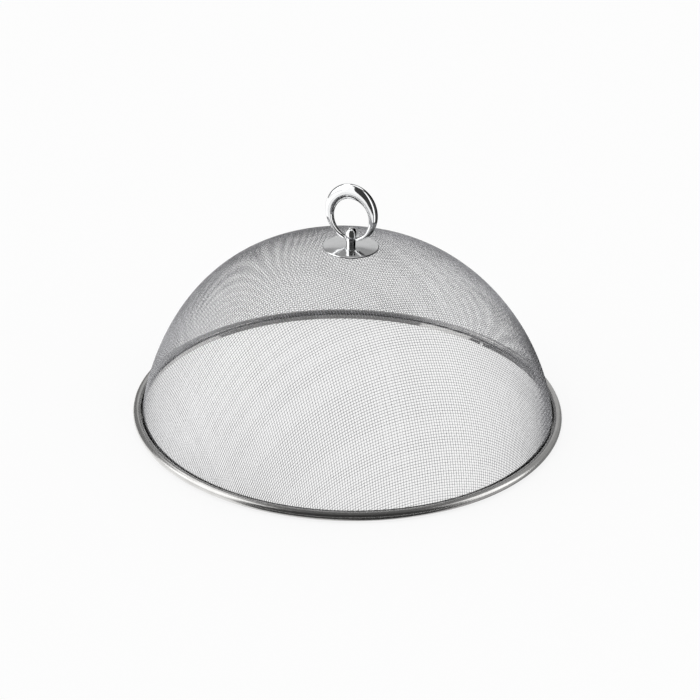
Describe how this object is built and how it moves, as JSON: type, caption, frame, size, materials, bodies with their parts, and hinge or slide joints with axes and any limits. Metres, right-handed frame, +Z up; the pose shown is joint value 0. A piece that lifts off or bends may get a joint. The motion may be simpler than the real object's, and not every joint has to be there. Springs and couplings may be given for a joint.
{
  "type": "buffet food cover dome",
  "caption": "Round food cover: a dome of woven steel wire mesh in a rolled steel rim, lifted by a folding crescent finger ring on a post clamped through its crown.",
  "frame": {"origin": "centre of the circle on which the rim stands, at table height", "axes": "+Z up through the crown and the post; +X along the axis on which the ring folds"},
  "size_m": [0.3, 0.3, 0.1688],
  "materials": {
    "rim_steel": "rolled stainless steel strip, half bright, with fine marks along the rim",
    "mesh_wire": "drawn stainless steel wire, plain weave",
    "bright_plate": "mirror polished plating",
    "fastener_steel": "plain bright steel"
  },
  "bodies": {
    "cover": {"rim_band": "rim_steel", "rim_rivet": "fastener_steel", "warp_wires": "mesh_wire", "weft_wires": "mesh_wire", "base_disc": "bright_plate", "handle_post": "bright_plate", "backing_washer": "fastener_steel", "lock_washer": "fastener_steel", "clamp_screw": "fastener_steel"},
    "ring": {"handle_ring": "bright_plate"}
  },
  "joints": [
    {"name": "ring_fold", "type": "hinge", "parent": "cover", "child": "ring", "pos_m": [0, 0, 0.12982], "axis": [1, 0, 0], "range_deg": [-99, 99]}
  ]
}
